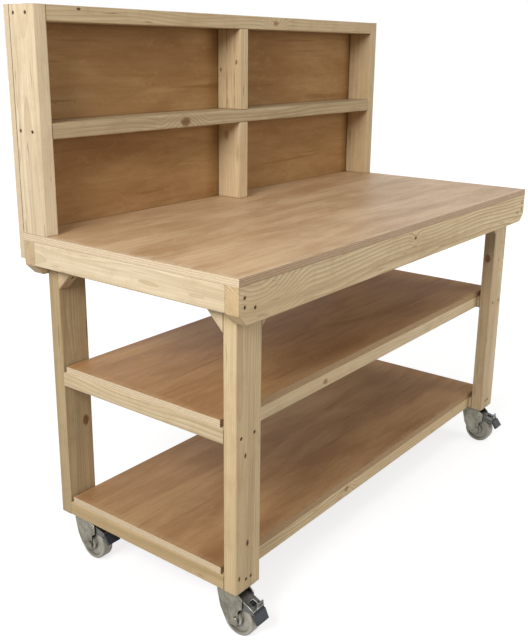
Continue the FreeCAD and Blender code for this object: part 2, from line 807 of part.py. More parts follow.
HARDWARE_WORDS = ("castor", "axle", "wheel", "pedal", "pin", "balls", "screws")
for label, blank in list(pieces.items()):
    if any(word in label for word in HARDWARE_WORDS) or not is_drilled(blank):
        continue
    blank.Label = f"{label}_blank"
    drilled = doc.addObject("Part::Cut", f"{label}_drilled")
    drilled.Base = blank
    drilled.Tool = drill_holes
    drilled.Label = label
    pieces[label] = drilled
doc.recompute()

# Check and export

for item in doc.Objects:
    if "Invalid" in item.State or "Error" in item.State:
        raise RuntimeError(f"{item.Label}: {item.State}")

os.makedirs("parts", exist_ok=True)
for label, piece in pieces.items():
    shape = piece.Shape
    if shape.isNull() or not shape.isValid() or not shape.Solids:
        raise RuntimeError(f"{label}: no valid solid")
    if piece.Label != label:
        raise RuntimeError(f"{label}: its label is {piece.Label}")
    shape.exportStep(os.path.join("parts", f"{label}.step"))
print(f"{len(pieces)} pieces written")
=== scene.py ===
import json
import math
import random

import bmesh
import bpy
from mathutils import Matrix, Vector


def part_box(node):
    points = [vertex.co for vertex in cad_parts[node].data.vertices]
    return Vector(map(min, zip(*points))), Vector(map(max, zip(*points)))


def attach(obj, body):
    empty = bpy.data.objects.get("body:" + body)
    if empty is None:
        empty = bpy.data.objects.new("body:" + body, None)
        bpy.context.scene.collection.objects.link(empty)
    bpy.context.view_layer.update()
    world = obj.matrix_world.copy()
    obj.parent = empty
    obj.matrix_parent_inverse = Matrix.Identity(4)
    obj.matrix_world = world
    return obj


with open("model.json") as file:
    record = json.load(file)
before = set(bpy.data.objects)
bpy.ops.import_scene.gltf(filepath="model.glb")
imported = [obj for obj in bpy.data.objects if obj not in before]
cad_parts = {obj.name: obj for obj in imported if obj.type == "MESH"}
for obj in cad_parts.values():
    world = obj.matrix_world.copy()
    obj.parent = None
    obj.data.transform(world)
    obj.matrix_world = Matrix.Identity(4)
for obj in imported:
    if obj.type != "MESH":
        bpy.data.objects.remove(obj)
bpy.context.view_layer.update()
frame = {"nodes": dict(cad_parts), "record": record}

# Lengths are in metres and colours are linear red, green and blue.

nodes = frame["nodes"]
rng = random.Random(7)
AXES = {"X": Vector((1, 0, 0)), "Y": Vector((0, 1, 0)), "Z": Vector((0, 0, 1))}


# Node graphs

class Graph:
    """A material's node tree with short ways to add nodes."""

    def __init__(self, name):
        self.material = bpy.data.materials.new(name)
        self.material.use_nodes = True
        self.tree = self.material.node_tree
        self.tree.nodes.clear()

    def node(self, kind, inputs=None, **props):
        made = self.tree.nodes.new(kind)
        for key, value in props.items():
            setattr(made, key, value)
        for key, value in (inputs or {}).items():
            self.put(made.inputs[key], value)
        return made

    def put(self, socket, value):
        if isinstance(value, bpy.types.NodeSocket):
            self.tree.links.new(value, socket)
        else:
            socket.default_value = value

    def math(self, operation, a, b=0.0, c=0.0):
        return self.node("ShaderNodeMath", {0: a, 1: b, 2: c}, operation=operation).outputs[0]

    def vector(self, operation, a, b=None, scale=None):
        made = self.node("ShaderNodeVectorMath", {0: a}, operation=operation)
        if b is not None:
            self.put(made.inputs[1], b)
        if scale is not None:
            self.put(made.inputs["Scale"], scale)
        return made.outputs["Value" if operation in ("DOT_PRODUCT", "LENGTH") else "Vector"]

    def join(self, x, y, z):
        return self.node("ShaderNodeCombineXYZ", {0: x, 1: y, 2: z}).outputs[0]

    def noise(self, vector, scale=1.0, detail=2.0, roughness=0.5, distortion=0.0):
        inputs = {"Vector": vector, "Scale": scale, "Detail": detail, "Roughness": roughness,
                  "Distortion": distortion}
        return self.node("ShaderNodeTexNoise", inputs).outputs[0]

    def uneven(self, vector, reach, scale=1.0, detail=2.0):
        """Noise from -reach / 2 to reach / 2."""
        noise = self.noise(vector, scale, detail)
        return self.math("MULTIPLY_ADD", noise, reach, -reach / 2)

    def range(self, value, low, high, to_low=0.0, to_high=1.0, smooth=False):
        inputs = {0: value, 1: low, 2: high, 3: to_low, 4: to_high}
        kind = "SMOOTHSTEP" if smooth else "LINEAR"
        return self.node("ShaderNodeMapRange", inputs, interpolation_type=kind, clamp=True).outputs[0]

    def mix(self, factor, a, b, blend="MIX"):
        made = self.node("ShaderNodeMix", data_type="RGBA", blend_type=blend)
        self.put(made.inputs[0], factor)
        for socket, value in ((made.inputs[6], a), (made.inputs[7], b)):
            self.put(socket, (*value, 1) if isinstance(value, tuple) else value)
        return made.outputs[2]

    def crevice_shade(self, reach):
        """Painted shade from ambient occlusion: 0 on open surfaces, 1 deep in a gap."""
        openness = self.node("ShaderNodeAmbientOcclusion", {"Distance": reach}, samples=8).outputs["AO"]
        return self.range(openness, 0.25, 0.9, 1.0, 0.0)

    def edge_normal(self, radius):
        """The surface's normal with sharp edges rounded, in shading only."""
        return self.node("ShaderNodeBevel", {"Radius": radius}, samples=6).outputs[0]

    def bump(self, height, strength, distance, normal=None):
        inputs = {"Height": height, "Strength": strength, "Distance": distance}
        if normal is not None:
            inputs["Normal"] = normal
        return self.node("ShaderNodeBump", inputs).outputs[0]

    def finish(self, **inputs):
        sockets = {key.replace("_", " "): value for key, value in inputs.items()}
        shader = self.node("ShaderNodeBsdfPrincipled", sockets)
        out = self.node("ShaderNodeOutputMaterial")
        self.tree.links.new(shader.outputs[0], out.inputs[0])
        return self.material


def paint(name, material):
    slots = nodes[name].data.materials
    slots.clear()
    slots.append(material)


def centre_of(name):
    low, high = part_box(name)
    return (Vector(low) + Vector(high)) / 2


# What sets each stick and board apart

def knot(x, y, z, size, through, core=0.95):
    """A knot at a point, whose branch runs along an axis; with no core the grain only bends."""
    mask = tuple(0.0 if axis == through else 1.0 for axis in "XYZ")
    return (x, y, z), size, mask, core


KNOTS = {
    "middle_shelf_front_rail": [knot(-0.300, -0.26, 0.522, 0.009, "Y", 0.8)],
    "lower_shelf_front_rail": [knot(-0.174, -0.26, 0.155, 0.009, "Y", 0.8)],
    "rear_left_leg": [knot(-0.661, 0.27, 0.387, 0.012, "Y")],
    "front_left_leg": [knot(-0.6856, -0.31, 0.252, 0.007, "Y", 0.3)],
    "front_right_leg": [knot(0.64, -0.29, 0.683, 0.011, "X"), knot(0.682, -0.31, 0.674, 0.006, "Y", 0.6)],
    "back_top_rail": [knot(0.1547, 0.26, 1.4375, 0.010, "Y", 0.7)],
    "back_middle_rail": [knot(-0.26, 0.26, 1.161, 0.015, "Y")],
    "back_upper_divider": [knot(-0.019, 0.2755, 1.3218, 0.005, "X"),
                           knot(-0.019, 0.336, 1.299, 0.005, "X")],
    "back_lower_divider": [knot(-0.019, 0.3136, 1.1035, 0.011, "X", 0.5)],
    "front_apron": [knot(-0.0098, -0.34, 0.872, 0.006, "Y", 0.4),
                    knot(-0.70, -0.34, 0.868, 0.030, "Y", 0.0)],
}
# Dark spots, such as nail holes: place and radius
MARKS = {
    "front_left_leg": [((-0.6945, -0.312, 0.479), 0.0042), ((-0.6856, -0.312, 0.252), 0.0050),
                       ((-0.7154, -0.312, 0.170), 0.0042)],
    "back_top_rail": [((-0.63, 0.259, 1.448), 0.0040)],
    "front_apron": [((-0.0098, -0.35, 0.872), 0.0040)],
}
# Dark streaks along the stick: a point on each and its half width
STREAKS = {"back_upper_divider": [((-0.019, 0.312, 1.3), 0.0030), ((-0.019, 0.283, 1.3), 0.0024)]}
# The pith's place from the stick's middle, where it isn't drawn at random
PITHS = {"front_apron": (0.0, 0.05, -0.06)}
# How light, how warm and how strongly figured each stick is, and how flecked if not by the default
# The lower lightness of rear_left_leg, lower_shelf_left_rail, back_top_rail, back_middle_rail and
# back_right_post is partly painted shade.
STICKS = {
    "left_end_rail": (1.01, -0.2, 0.35),
    "back_left_post": (1.02, -0.4, 0.6, 1.0),
    "front_left_leg": (0.92, 1.0, 0.2),
    "rear_left_leg": (0.70, 1.2, 0.5),
    "front_right_leg": (1.0, 0.4, 0.5),
    "front_apron": (1.03, 0.7, 1.4),
    "middle_shelf_left_rail": (0.88, 0.4, 0.5),
    "lower_shelf_left_rail": (0.80, 1.3, 0.5),
    "middle_shelf_front_rail": (1.05, 0.4, 0.6),
    "lower_shelf_front_rail": (0.99, 1.0, 0.6),
    "back_upper_divider": (0.90, 0.6, 0.9),
    "back_lower_divider": (0.93, 0.7, 0.4),
    "back_right_post": (0.82, 0.8, 0.6),
    "back_top_rail": (0.78, 0.9, 0.5),
    "back_middle_rail": (0.66, 0.8, 0.9),
}
PLAIN_STICK = (0.95, 0.5, 0.5)
# Each board's thin axis, tint and gloss
# The shelf boards' and the back sheet's darker tints are partly painted shade.
BOARDS = {
    "worktop": ("Z", (0.90, 0.865, 0.785), 0.5),
    "lower_shelf_board": ("Z", (0.59, 0.475, 0.33), 0.2),
    "middle_shelf_board": ("Z", (0.69, 0.55, 0.37), 0.2),
    "back_sheet": ("Y", (0.58, 0.47, 0.30), 0.15),
}


# Softwood: growth rings round a pith, fibres along the stick, knots, marks, sawn ends, edges darkened
# partly by dirt and partly by painted shade, and painted shade in gaps.
# The solids round the long edges; the shading softens the sawn ones.

PALE_WOOD = (0.80, 0.675, 0.465)
LATE_WOOD = (0.44, 0.295, 0.15)
WARM_WOOD = (0.70, 0.54, 0.335)
FIBRE_WOOD = (0.46, 0.325, 0.18)
GREY_WOOD = (0.47, 0.335, 0.20)
# Colour of the painted shade in gaps, inner corners and under parts
GAP_SHADE_WOOD = (0.10, 0.065, 0.035)
FLECK_WOOD = (0.30, 0.185, 0.095)
KNOT_WOOD = (0.20, 0.095, 0.04)
HEART_WOOD = (0.38, 0.21, 0.10)
HOLE_WOOD = (0.085, 0.038, 0.006)
WOOD_EDGE = 0.0035
# Reach of the painted shade in the timber's gaps
WOOD_SHADE_REACH = 0.007
# Knots and marks are drawn out along the fibres by these shares
KNOT_STRETCH, MARK_STRETCH = 0.35, 0.45
KNOT_WANDER = 0.008


def bent_round_knots(g, name, point, along, radius):
    """The rings' radius, bent round the stick's knots, and the share of knot at a point."""
    knot_mask = None
    for place, size, mask, core in KNOTS.get(name, ()):
        away = g.vector("MULTIPLY", g.vector("SUBTRACT", point, place), mask)
        drawn_out = g.math("MULTIPLY", g.vector("DOT_PRODUCT", away, tuple(along)), KNOT_STRETCH)
        away = g.vector("SUBTRACT", away, g.vector("SCALE", tuple(along), scale=drawn_out))
        wander = g.uneven(point, 0.9 * min(size, KNOT_WANDER), scale=90)
        away = g.math("ADD", g.vector("LENGTH", away), wander)
        radius = g.math("ADD", radius, g.range(away, 0.2 * size, 4.5 * size, 1.7 * size, 0.0, smooth=True))
        if core:
            spot = g.range(away, 0.55 * size, 1.1 * size, core, 0.0, smooth=True)
            knot_mask = spot if knot_mask is None else g.math("MAXIMUM", knot_mask, spot)
    return radius, knot_mask


def marked(g, name, point, along, colour):
    """The colour with the stick's dark spots on it."""
    stretch = tuple(1 - MARK_STRETCH * abs(c) for c in along)
    for place, size in MARKS.get(name, ()):
        away = g.vector("LENGTH", g.vector("MULTIPLY", g.vector("SUBTRACT", point, place), stretch))
        away = g.math("ADD", away, g.uneven(point, 0.002, scale=350))
        colour = g.mix(g.range(away, 0.6 * size, 1.1 * size, 0.95, 0.0, smooth=True), colour, HOLE_WOOD)
    return colour


def softwood(name, along, tone, warmth, figure, flecks=0.5):
    g = Graph(f"softwood_{name}")
    point = g.node("ShaderNodeTexCoord").outputs["Object"]
    along = along.normalized()
    low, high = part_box(name)
    spans = Vector(high) - Vector(low)
    sideways = [axis for axis in AXES.values() if abs(axis.dot(along)) < 0.1]
    thin = min(sideways, key=lambda axis: spans.dot(axis))
    wide = along.cross(thin)
    offset = thin * rng.choice((-1, 1)) * rng.uniform(0.03, 0.06) + wide * rng.uniform(-0.04, 0.04)
    local = g.vector("SUBTRACT", point, tuple(centre_of(name) + Vector(PITHS.get(name, offset))))
    length = g.vector("DOT_PRODUCT", local, tuple(along))
    across = g.vector("DOT_PRODUCT", local, tuple(thin))
    up = g.vector("DOT_PRODUCT", local, tuple(wide))
    shift = rng.uniform(0, 40)

    def stretched(scale_across, scale_along):
        return g.join(g.math("MULTIPLY_ADD", across, scale_across, shift),
                      g.math("MULTIPLY", up, scale_across), g.math("MULTIPLY", length, scale_along))

    bend = g.math("SUBTRACT", g.noise(stretched(6, 1.9), detail=1.5), 0.5)
    radius = g.vector("LENGTH", g.join(across, up, 0.0))
    radius = g.math("ADD", radius, g.math("MULTIPLY", bend, 0.035))
    radius, knot_mask = bent_round_knots(g, name, point, along, radius)
    ring_width = rng.uniform(0.0046, 0.0062) + 0.0018 * figure
    ring = g.math("FRACT", g.math("DIVIDE", radius, ring_width))
    faint, strong = 0.25 + 0.35 * figure, min(0.5 + 0.5 * figure, 1.1)
    ring_share = g.range(g.noise(stretched(14, 2.5)), 0.3, 0.7, faint, strong)
    late = g.math("MULTIPLY", g.math("POWER", ring, 2.0), ring_share)
    colour = g.mix(late, PALE_WOOD, LATE_WOOD)
    patch = g.noise(stretched(9, 1.1))
    colour = g.mix(g.range(patch, 0.38, 0.66, 0.0, 0.75), colour, WARM_WOOD)
    band = g.noise(stretched(32, 1.3), detail=3, roughness=0.6)
    colour = g.mix(g.range(band, 0.48, 0.68, 0.0, 0.55), colour, GREY_WOOD)
    fibre = g.noise(stretched(420, 7), detail=4, roughness=0.65)
    colour = g.mix(g.range(fibre, 0.38, 0.75, 0.0, 0.45), colour, FIBRE_WOOD)
    grime = g.noise(g.vector("ADD", point, (shift, 0, 0)), scale=16, detail=5, roughness=0.65)
    colour = g.mix(g.range(grime, 0.5, 0.8, 0.0, 0.45), colour, FIBRE_WOOD)
    fleck = g.noise(stretched(110, 11), detail=1)
    fleck = g.range(fleck, 0.76 - 0.1 * flecks, 0.83 - 0.1 * flecks, 0.0, 0.6)
    colour = g.mix(fleck, colour, FLECK_WOOD)
    if knot_mask is not None:
        heart = g.mix(g.range(fibre, 0.35, 0.65), KNOT_WOOD, HEART_WOOD)
        colour = g.mix(knot_mask, colour, heart)
    for place, half in STREAKS.get(name, ()):
        away = g.vector("DOT_PRODUCT", g.vector("SUBTRACT", point, place), tuple(wide))
        away = g.math("ADD", g.math("ABSOLUTE", away), g.uneven(stretched(3, 9), 0.012))
        streak = g.range(away, 0.4 * half, 1.3 * half, 0.75, 0.0, smooth=True)
        colour = g.mix(streak, colour, FLECK_WOOD)
    colour = marked(g, name, point, along, colour)

    eased = g.edge_normal(WOOD_EDGE)
    true_normal = g.node("ShaderNodeNewGeometry").outputs["Normal"]
    end_grain = g.math("ABSOLUTE", g.vector("DOT_PRODUCT", true_normal, tuple(along)))
    end_grain = g.range(end_grain, 0.6, 0.9)
    rough_cut = g.noise(point, scale=260, detail=5, roughness=0.75)
    sawn = g.math("MULTIPLY", end_grain, g.range(rough_cut, 0.35, 0.65, 0.1, 0.75))
    colour = g.mix(sawn, colour, FIBRE_WOOD)
    # Edges darkened where the grime noise is high: partly dirt, partly painted shade along the eased edges
    corner = g.range(g.vector("DOT_PRODUCT", eased, true_normal), 0.80, 0.985, 0.45, 0.0)
    colour = g.mix(g.math("MULTIPLY", corner, g.range(grime, 0.3, 0.6)), colour, FLECK_WOOD)
    # Painted shade in gaps, inner corners and under parts, which draws the dark lines at the joints
    colour = g.mix(g.math("MULTIPLY", g.crevice_shade(WOOD_SHADE_REACH), 0.7), colour, GAP_SHADE_WOOD)
    # Each stick's tint; on the darker sticks it is partly painted shade.
    tint = (tone, tone * (1 - 0.06 * warmth), tone * (1 - 0.17 * warmth))
    colour = g.mix(1.0, colour, tint, "MULTIPLY")
    height = g.math("MULTIPLY_ADD", fibre, 0.6, g.math("MULTIPLY", late, 0.4))
    height = g.math("ADD", height, g.math("MULTIPLY", end_grain, rough_cut))
    return g.finish(Base_Color=colour, Roughness=g.range(fibre, 0.3, 0.7, 0.58, 0.75),
                    Normal=g.bump(height, 0.4, 0.0009, eased), Specular_IOR_Level=0.25)


# Plywood: rotary-cut faces with clouds, stains and scuffs, and edges that show the plies

PLY_WOOD = (0.61, 0.415, 0.255)
PLY_FIGURE = (0.50, 0.32, 0.18)
PLY_PATCH = (0.70, 0.50, 0.325)
PLY_STAIN = (0.43, 0.25, 0.125)
PLY_SAPWOOD = (0.74, 0.57, 0.38)
PLY_PALE_CLOUD = (0.70, 0.52, 0.325)
PLY_DARK_CLOUD = (0.44, 0.28, 0.14)
PLY_STREAK = (0.42, 0.255, 0.135)
PLY_LINE = (0.36, 0.205, 0.10)
PLY_SCUFF = (0.74, 0.575, 0.41)
PLY_DIRT = (0.25, 0.15, 0.08)
PLY_WORN = (0.74, 0.59, 0.43)
# The pale and the brown plies, each on a long edge and on a board's end
PALE_PLIES = ((0.50, 0.33, 0.18), (0.74, 0.60, 0.41))
BROWN_PLIES = ((0.285, 0.165, 0.078), (0.50, 0.36, 0.22))
PLIES = 7.0
WORN_RIM = 0.022


def plywood(name, thin_axis, shade, gloss):
    g = Graph(f"plywood_{name}")
    low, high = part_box(name)
    point = g.node("ShaderNodeTexCoord").outputs["Object"]
    x, y, z = g.node("ShaderNodeSeparateXYZ", {0: point}).outputs
    if thin_axis == "Z":
        across, near_side, depth, bottom, top = y, low[1], z, low[2], high[2]
    else:
        across, near_side, depth, bottom, top = z, low[2], y, low[1], high[1]
    shift = rng.uniform(0, 30)

    def stretched(scale_along, scale_across):
        return g.join(g.math("MULTIPLY_ADD", x, scale_along, shift),
                      g.math("MULTIPLY", across, scale_across), 0.0)

    field = g.noise(stretched(0.8, 4.2), detail=2.5, distortion=0.5)
    figure = g.math("PINGPONG", g.math("MULTIPLY", field, 9), 0.5)
    colour = g.mix(g.range(figure, 0.1, 0.5, 0.0, 0.5, smooth=True), PLY_WOOD, PLY_FIGURE)
    patch = g.noise(stretched(2.0, 10), detail=5, roughness=0.62, distortion=0.4)
    colour = g.mix(g.range(patch, 0.47, 0.60, 0.0, 0.75), colour, PLY_PATCH)
    stain = g.noise(stretched(1.3, 6.0), detail=4, roughness=0.6, distortion=0.5)
    colour = g.mix(g.range(stain, 0.48, 0.66, 0.0, 0.7), colour, PLY_STAIN)
    sapwood = g.noise(stretched(1.1, 7.5))
    colour = g.mix(g.range(sapwood, 0.56, 0.64, 0.0, 0.4), colour, PLY_SAPWOOD)
    cloud = g.noise(stretched(2.6, 10.0), detail=5, roughness=0.62, distortion=0.8)
    colour = g.mix(g.range(cloud, 0.52, 0.64, 0.0, 0.6), colour, PLY_PALE_CLOUD)
    colour = g.mix(g.range(cloud, 0.36, 0.47, 0.48, 0.0), colour, PLY_DARK_CLOUD)
    streak = g.noise(stretched(5, 75), detail=5, roughness=0.7)
    colour = g.mix(g.range(streak, 0.46, 0.68, 0.0, 0.36), colour, PLY_STREAK)
    line = g.noise(stretched(2.0, 42))
    colour = g.mix(g.range(line, 0.63, 0.70, 0.0, 0.5), colour, PLY_LINE)
    scuff = g.noise(g.vector("MULTIPLY", point, (16, 34, 30)), detail=6, roughness=0.8, distortion=1.2)
    colour = g.mix(g.range(scuff, 0.54, 0.66, 0.0, 0.40), colour, PLY_SCUFF)
    darkening = g.noise(g.vector("ADD", point, (0, shift, 0)), scale=110, detail=3, roughness=0.6)
    colour = g.mix(g.range(darkening, 0.66, 0.74, 0.0, 0.5), colour, PLY_DIRT)
    rim = g.math("MINIMUM", g.math("SUBTRACT", x, low[0]), g.math("SUBTRACT", across, near_side))
    wear = g.math("MULTIPLY", g.range(rim, 0.0, WORN_RIM, 0.9, 0.0), g.range(scuff, 0.38, 0.6))
    colour = g.mix(wear, colour, PLY_WORN)

    normal = g.node("ShaderNodeNewGeometry").outputs["Normal"]
    end_grain = g.math("ABSOLUTE", g.vector("DOT_PRODUCT", normal, (1, 0, 0)))
    layer = g.math("ADD", g.range(depth, bottom, top, 0.0, PLIES), g.uneven(point, 0.9, scale=45, detail=3))
    parity = g.math("PINGPONG", layer, 1.0)
    torn = g.noise(g.vector("MULTIPLY", point, (90, 90, 420)), detail=4, roughness=0.7)
    torn = g.range(torn, 0.4, 0.68)
    pale = g.mix(end_grain, *PALE_PLIES)
    brown = g.mix(end_grain, *BROWN_PLIES)
    edge = g.mix(g.range(parity, 0.55, 0.85, 0.0, 0.8, smooth=True), pale, brown)
    edge = g.mix(g.math("MULTIPLY", torn, 0.5), edge, brown)
    facing = g.math("ABSOLUTE", g.vector("DOT_PRODUCT", normal, tuple(AXES[thin_axis])))
    facing = g.range(facing, 0.4, 0.6)
    colour = g.mix(facing, edge, g.mix(1.0, colour, shade, "MULTIPLY"))
    # Painted shade in gaps, inner corners and under parts, which draws the dark lines at the joints
    colour = g.mix(g.math("MULTIPLY", g.crevice_shade(WOOD_SHADE_REACH), 0.6), colour, GAP_SHADE_WOOD)
    on_edge = g.range(facing, 0.0, 1.0, 1.0, 0.0)
    height = g.math("MULTIPLY_ADD", streak, 0.5, g.math("MULTIPLY", torn, on_edge))
    roughness = g.range(scuff, 0.35, 0.65, 0.68 - 0.6 * gloss, 0.8 - 0.48 * gloss)
    return g.finish(Base_Color=colour, Roughness=roughness, Normal=g.bump(height, 0.25, 0.0005),
                    Specular_IOR_Level=gloss)


# Metals and plastics

STEEL_EDGE = 0.0014
# Reach and colour of the painted shade in the castors' gaps
STEEL_SHADE_REACH = 0.02
STEEL_GAP_SHADE = (0.03, 0.028, 0.024)
# Reach of the painted shade in the plastic's gaps
PLASTIC_SHADE_REACH = 0.025


def darker(colour, share):
    return tuple(share * c for c in colour)


def steel(name, base, dark, roughness, edge_highlight=None, metallic=0.9):
    """Stained and brushed steel with painted shade in its gaps; given an edge colour, the edges are
    softened in shading and carry a painted highlight.
    """
    g = Graph(name)
    point = g.node("ShaderNodeTexCoord").outputs["Object"]
    cloud = g.noise(point, scale=32, detail=4, roughness=0.6, distortion=0.4)
    brushed = g.noise(g.vector("MULTIPLY", point, (420, 420, 40)), detail=3)
    colour = g.mix(g.range(cloud, 0.36, 0.64), base, dark)
    colour = g.mix(g.range(brushed, 0.4, 0.7, 0.0, 0.3), colour, darker(dark, 0.6))
    speck = g.noise(point, scale=600)
    colour = g.mix(g.range(speck, 0.62, 0.72, 0.0, 0.4), colour, darker(dark, 0.4))
    normal = None
    if edge_highlight:
        normal = g.edge_normal(STEEL_EDGE)
        flat = g.node("ShaderNodeNewGeometry").outputs["Normal"]
        # Painted highlight along the edges
        corner = g.range(g.vector("DOT_PRODUCT", normal, flat), 0.75, 0.985, 0.9, 0.0)
        colour = g.mix(corner, colour, edge_highlight)
    # Painted shade in the castors' gaps and under their parts
    colour = g.mix(g.math("MULTIPLY", g.crevice_shade(STEEL_SHADE_REACH), 0.75), colour, STEEL_GAP_SHADE)
    rough = g.math("ADD", g.range(cloud, 0.3, 0.7, -0.08, 0.12), roughness)
    return g.finish(Base_Color=colour, Metallic=metallic, Roughness=rough,
                    Normal=g.bump(cloud, 0.35, 0.003, normal))


# The last argument sets how strongly painted shade darkens the plastic's gaps.
def plastic(name, base, worn, roughness, grain_scale, darkening=0.5):
    g = Graph(name)
    point = g.node("ShaderNodeTexCoord").outputs["Object"]
    cloud = g.noise(point, scale=45, detail=4, roughness=0.6)
    grain = g.noise(point, scale=grain_scale)
    colour = g.mix(g.range(cloud, 0.38, 0.7, 0.0, 0.85), base, worn)
    # Painted shade in gaps, such as on the wheel under the fork
    colour = g.mix(g.math("MULTIPLY", g.crevice_shade(PLASTIC_SHADE_REACH), darkening), colour, darker(worn, 0.3))
    rough = g.range(grain, 0.3, 0.7, roughness - 0.08, roughness + 0.1)
    return g.finish(Base_Color=colour, Roughness=rough, Normal=g.bump(grain, 0.2, 0.0002),
                    Specular_IOR_Level=0.4)


# Colours of the painted highlights on the steel's edges
ZINC_EDGE_HIGHLIGHT = (0.66, 0.66, 0.61)
PEDAL_EDGE_HIGHLIGHT = (0.80, 0.80, 0.77)
zinc = steel("zinc_steel", (0.365, 0.35, 0.285), (0.195, 0.183, 0.14), 0.38, ZINC_EDGE_HIGHLIGHT)
# The pedals' darker copy of the zinc is painted shade
shaded_pedal_zinc = steel("shaded_pedal_steel", (0.20, 0.20, 0.185), (0.085, 0.085, 0.075), 0.34, PEDAL_EDGE_HIGHLIGHT)
screw = steel("screw_steel", (0.17, 0.10, 0.03), (0.075, 0.04, 0.012), 0.55, metallic=0.6)
nylon = plastic("nylon", (0.475, 0.445, 0.375), (0.34, 0.312, 0.25), 0.45, 500, 0.85)
black = plastic("black_plastic", (0.022, 0.025, 0.032), (0.055, 0.06, 0.07), 0.42, 900)
catch = plastic("catch_plastic", (0.006, 0.006, 0.007), (0.016, 0.016, 0.018), 0.7, 900)
# Near-black painted shade that stands for the screws' cross recesses
recess_shade = steel("screw_recess", (0.03, 0.022, 0.014), (0.012, 0.009, 0.006), 0.65, metallic=0.6)


# The CAD nodes' materials

SLOTS = {entry["node"]: entry["material_slot"] for entry in frame["record"]["subparts"]}
FINISHES = {"zinc_steel": zinc, "screw_steel": screw, "nylon": nylon, "black_plastic": black}


def timber_axis(name):
    """The direction of a stick's fibres; a gusset's run along its sloping face."""
    box_low, box_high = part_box(name)
    spans = [b - a for a, b in zip(box_low, box_high)]
    if "gusset" in name:
        centre = centre_of(name)
        if "apron_gusset" in name:
            return Vector((math.copysign(1, -centre.x), 0, 1))
        return Vector((0, math.copysign(1, -centre.y), 1))
    return AXES["XYZ"[spans.index(max(spans))]]


for name in sorted(nodes):
    if name in BOARDS:
        paint(name, plywood(name, *BOARDS[name]))
    elif SLOTS[name] == "softwood":
        paint(name, softwood(name, timber_axis(name), *STICKS.get(name, PLAIN_STICK)))
    elif "brake_pedal" in name:
        # The brake pedals take the darker zinc, which is painted shade
        paint(name, shaded_pedal_zinc)
    else:
        paint(name, FINISHES[SLOTS[name]])


def new_piece(name, bm, material, body):
    mesh = bpy.data.meshes.new(name)
    bm.to_mesh(mesh)
    bm.free()
    item = bpy.data.objects.new(name, mesh)
    bpy.context.scene.collection.objects.link(item)
    mesh.materials.append(material)
    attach(item, body)


# Pedal catches

CASTORS = ("front_left", "front_right", "rear_left", "rear_right")
PRESSED_CASTOR = "front_left"
PEDAL_LIFT = math.radians(10)
# The pedal's pin and the top of its heel: how far ahead of the castor's middle and above the floor
PIN_AHEAD, PIN_UP = 0.041, 0.099
HEEL_AHEAD, HEEL_UP = 0.033, 0.109
PEDAL_SLOPE = 21 / 53
# The tray and its tongue: half width, back and front end, depth below the pedal's top and thickness
CATCH_BLOCKS = ((0.0095, 0.0605, 0.0785, 0.0024, 0.0026), (0.0030, 0.0625, 0.0720, 0.0004, 0.0022))
CATCH_ROUNDING = 0.0005
BLOCK_FACES = ((0, 2, 6, 4), (1, 5, 7, 3), (0, 1, 3, 2), (4, 6, 7, 5), (0, 4, 5, 1), (2, 3, 7, 6))


def add_catch(castor):
    """The black catch below the pedal's window: a tray with a raised tongue, on the pedal's slope."""
    low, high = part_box(f"{castor}_castor_plate")
    middle = ((low[0] + high[0]) / 2, (low[1] + high[1]) / 2)
    bm = bmesh.new()
    for half, back, front, drop, thick in CATCH_BLOCKS:
        corners = []
        for side in (-half, half):
            for ahead in (back, front):
                top = HEEL_UP - (ahead - HEEL_AHEAD) * PEDAL_SLOPE - drop
                corners += [bm.verts.new((side, -ahead, top)), bm.verts.new((side, -ahead, top - thick))]
        for ring in BLOCK_FACES:
            bm.faces.new([corners[i] for i in ring])
    bmesh.ops.recalc_face_normals(bm, faces=bm.faces)
    bmesh.ops.bevel(bm, geom=list(bm.edges), offset=CATCH_ROUNDING, segments=2, profile=0.5, affect="EDGES")
    pin = Vector((0, -PIN_AHEAD, PIN_UP))
    lift = 0 if castor == PRESSED_CASTOR else -PEDAL_LIFT
    at_pin = Matrix.Translation((*middle, 0)) @ Matrix.Translation(pin)
    bm.transform(at_pin @ Matrix.Rotation(lift, 4, "X") @ Matrix.Translation(-pin))
    new_piece(f"{castor}_pedal_catch", bm, catch, f"{castor}_pedal_body")


for castor in CASTORS:
    add_catch(castor)


# Cross recesses of the timber screws: thin crosses, a little proud of each head, whose near-black colour is
# painted shade

SCREW_AXES = [Vector(way).normalized() for way in (
    (1, 0, 0), (0, 1, 0), (0, 0, 1), (0, 1, 1), (0, -1, 1), (1, 0, 1), (-1, 0, 1))]
WELD = 1e-6
HEAD_DEPTH = 2e-4
# The cross's arms in head radii, and how much smaller its top is
CROSS_ARM, CROSS_HALF, CROSS_TAPER = 0.62, 0.14, 0.93
CROSS_PROUD, CROSS_SUNK = 1.2e-4, 1e-4


def islands(mesh):
    """The separate shells of a mesh, as lists of points."""
    bm = bmesh.new()
    bm.from_mesh(mesh)
    bmesh.ops.remove_doubles(bm, verts=bm.verts, dist=WELD)
    left = set(bm.verts)
    shells = []
    for start in bm.verts:
        if start not in left:
            continue
        left.remove(start)
        queue, shell = [start], []
        while queue:
            vert = queue.pop()
            shell.append(vert.co.copy())
            for edge in vert.link_edges:
                other = edge.other_vert(vert)
                if other in left:
                    left.remove(other)
                    queue.append(other)
        shells.append(shell)
    bm.free()
    return shells


def head_of(points):
    """The middle of a screw's head, its outward direction and its radius."""
    def span(unit):
        places = [p.dot(unit) for p in points]
        return max(places) - min(places)

    axis = max(SCREW_AXES, key=span)
    along = [p.dot(axis) for p in points]

    def ring(level):
        near = [p for p, a in zip(points, along) if abs(a - level) < HEAD_DEPTH]
        centre = sum(near, Vector()) / len(near)
        return centre, max((p - centre).length for p in near)

    (low, low_radius), (high, high_radius) = ring(min(along)), ring(max(along))
    return (low, -axis, low_radius) if low_radius > high_radius else (high, axis, high_radius)


